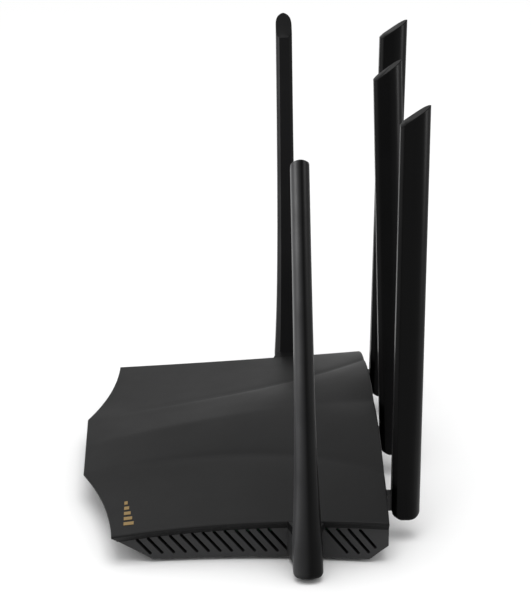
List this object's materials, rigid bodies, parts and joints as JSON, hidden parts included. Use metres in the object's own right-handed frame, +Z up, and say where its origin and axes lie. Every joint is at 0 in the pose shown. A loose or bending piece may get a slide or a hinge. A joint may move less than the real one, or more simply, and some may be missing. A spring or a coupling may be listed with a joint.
{
  "type": "wireless router",
  "caption": "Low charcoal wireless router with a sculpted wedge cover, slotted side walls, and flat blade antennas that fold and swivel along its sides and rear.",
  "frame": {"origin": "on the resting surface, below the middle of the whole object", "axes": "+X across the router to the right seen from its front edge, +Y from the front edge to the rear panel, +Z up"},
  "size_m": [0.22, 0.144, 0.1885],
  "materials": {
    "cover": "fine-grained matt charcoal moulding",
    "case": "fine-grained matt charcoal moulding",
    "antenna": "satin black moulding",
    "knuckle": "satin black moulding",
    "gold_print": "satin gold inlay",
    "rubber": "matt rubber",
    "clear_plastic": "clear moulding",
    "led": "moulded lamp body",
    "board": "solder-masked laminate",
    "tin": "pressed tinned steel",
    "chip": "moulded epoxy",
    "pad": "soft silicone pad",
    "aluminium": "plain extruded aluminium",
    "capacitor": "shrink sleeve",
    "ferrite": "ground ferrite",
    "socket": "moulded socket body",
    "contact": "gold-plated spring wire",
    "brass": "drawn brass",
    "steel": "zinc-plated steel",
    "cable": "extruded jacket"
  },
  "bodies": {
    "chassis": {"top_cover": "cover", "bottom_case": "case", "corner_mark": "gold_print", "light_guide": "clear_plastic", "led_chips": "led", "main_board": "board", "radio_shield": "tin", "processor_shield": "tin", "thermal_pad": "pad", "heat_sink": "aluminium", "radio_chips": "chip", "processor_chip": "chip", "memory_chips": "chip", "magnetics": "chip", "capacitors": "capacitor", "inductors": "ferrite", "wan_port": "socket", "port_contacts": "contact", "dc_jack": "socket", "dc_jack_pin": "steel", "button_switches": "socket", "antenna_leads": "cable", "rubber_feet": "rubber", "case_screws": "steel", "board_screws": "steel", "lan_port_1": "socket", "lan_port_2": "socket", "lan_port_3": "socket"},
    "wifi_button": {"wifi_button": "knuckle"},
    "reset_button": {"reset_button": "knuckle"},
    "knuckle_side_left": {"knuckle_side_left": "knuckle"},
    "antenna_side_left": {"sleeve_side_left": "antenna", "hinge_pin_side_left": "steel", "radiator_side_left": "brass", "coax_side_left": "cable"},
    "knuckle_side_right": {"knuckle_side_right": "knuckle"},
    "antenna_side_right": {"sleeve_side_right": "antenna", "hinge_pin_side_right": "steel", "radiator_side_right": "brass", "coax_side_right": "cable"},
    "knuckle_rear_left": {"knuckle_rear_left": "knuckle"},
    "antenna_rear_left": {"sleeve_rear_left": "antenna", "hinge_pin_rear_left": "steel", "radiator_rear_left": "brass", "coax_rear_left": "cable"},
    "knuckle_rear_centre": {"knuckle_rear_centre": "knuckle"},
    "antenna_rear_centre": {"sleeve_rear_centre": "antenna", "hinge_pin_rear_centre": "steel", "radiator_rear_centre": "brass", "coax_rear_centre": "cable"},
    "knuckle_rear_right": {"knuckle_rear_right": "knuckle"},
    "antenna_rear_right": {"sleeve_rear_right": "antenna", "hinge_pin_rear_right": "steel", "radiator_rear_right": "brass", "coax_rear_right": "cable"}
  },
  "joints": [
    {"name": "wifi_button_press", "type": "slide", "parent": "chassis", "child": "wifi_button", "axis": [0, -1, 0], "range_m": [0, 0.0005], "stiffness_N_per_m": 300, "springref_m": -0.001},
    {"name": "reset_button_press", "type": "slide", "parent": "chassis", "child": "reset_button", "axis": [0, -1, 0], "range_m": [0, 0.0005], "stiffness_N_per_m": 300, "springref_m": -0.001},
    {"name": "swivel_side_left", "type": "hinge", "parent": "chassis", "child": "knuckle_side_left", "pos_m": [-0.098, 0.0223, 0.0087], "axis": [-1, 0, 0], "range_deg": [-89.2, 90.8]},
    {"name": "fold_side_left", "type": "hinge", "parent": "knuckle_side_left", "child": "antenna_side_left", "pos_m": [-0.104, 0.0223, 0.0087], "axis": [0, -0.9999, -0.014], "range_deg": [-2, 90]},
    {"name": "swivel_side_right", "type": "hinge", "parent": "chassis", "child": "knuckle_side_right", "pos_m": [0.098, 0.0223, 0.0087], "axis": [1, 0, 0], "range_deg": [-91.4, 88.6]},
    {"name": "fold_side_right", "type": "hinge", "parent": "knuckle_side_right", "child": "antenna_side_right", "pos_m": [0.104, 0.0223, 0.0087], "axis": [0, 0.9997, 0.0244], "range_deg": [-2, 90]},
    {"name": "swivel_rear_left", "type": "hinge", "parent": "chassis", "child": "knuckle_rear_left", "pos_m": [-0.066, 0.0588, 0.0166], "axis": [0, 1, 0], "range_deg": [-90, 18]},
    {"name": "fold_rear_left", "type": "hinge", "parent": "knuckle_rear_left", "child": "antenna_rear_left", "pos_m": [-0.066, 0.0648, 0.0166], "axis": [-1, 0, 0], "range_deg": [-2.8, 89.2]},
    {"name": "swivel_rear_centre", "type": "hinge", "parent": "chassis", "child": "knuckle_rear_centre", "pos_m": [0, 0.0588, 0.0166], "axis": [0, 1, 0], "range_deg": [-18, 18]},
    {"name": "fold_rear_centre", "type": "hinge", "parent": "knuckle_rear_centre", "child": "antenna_rear_centre", "pos_m": [0, 0.0648, 0.0166], "axis": [-1, 0, 0], "range_deg": [-0.2, 91.8]},
    {"name": "swivel_rear_right", "type": "hinge", "parent": "chassis", "child": "knuckle_rear_right", "pos_m": [0.066, 0.0588, 0.0166], "axis": [0, 1, 0], "range_deg": [-18, 90]},
    {"name": "fold_rear_right", "type": "hinge", "parent": "knuckle_rear_right", "child": "antenna_rear_right", "pos_m": [0.066, 0.0648, 0.0166], "axis": [-1, 0, 0], "range_deg": [-2.3, 89.7]}
  ]
}
